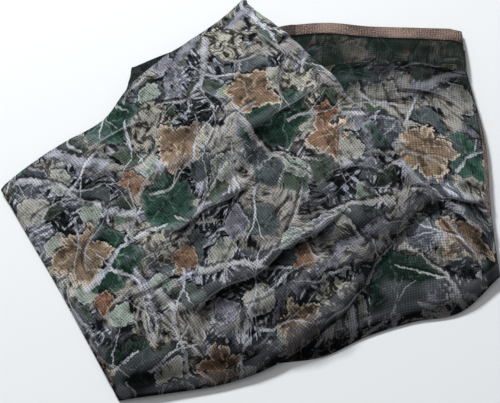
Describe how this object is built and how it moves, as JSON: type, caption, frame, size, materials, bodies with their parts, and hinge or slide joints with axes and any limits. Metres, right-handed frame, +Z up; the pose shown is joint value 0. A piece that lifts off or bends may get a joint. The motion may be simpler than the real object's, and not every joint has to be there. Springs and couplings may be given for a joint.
{
  "type": "camouflage netting",
  "caption": "Fine printed mesh netting in a leaf and bark camouflage with a narrow turned hem, folded back and forth into a loose flat pack.",
  "frame": {"origin": "middle of the pack's plan box, on the surface it lies on", "axes": "+X towards the pack's right side, +Y towards its back, +Z up"},
  "size_m": [0.5914, 0.5312, 0.0274],
  "materials": {
    "netting": "matte printed polyester mesh"
  },
  "bodies": {
    "root": {"netting": "netting"}
  },
  "joints": []
}
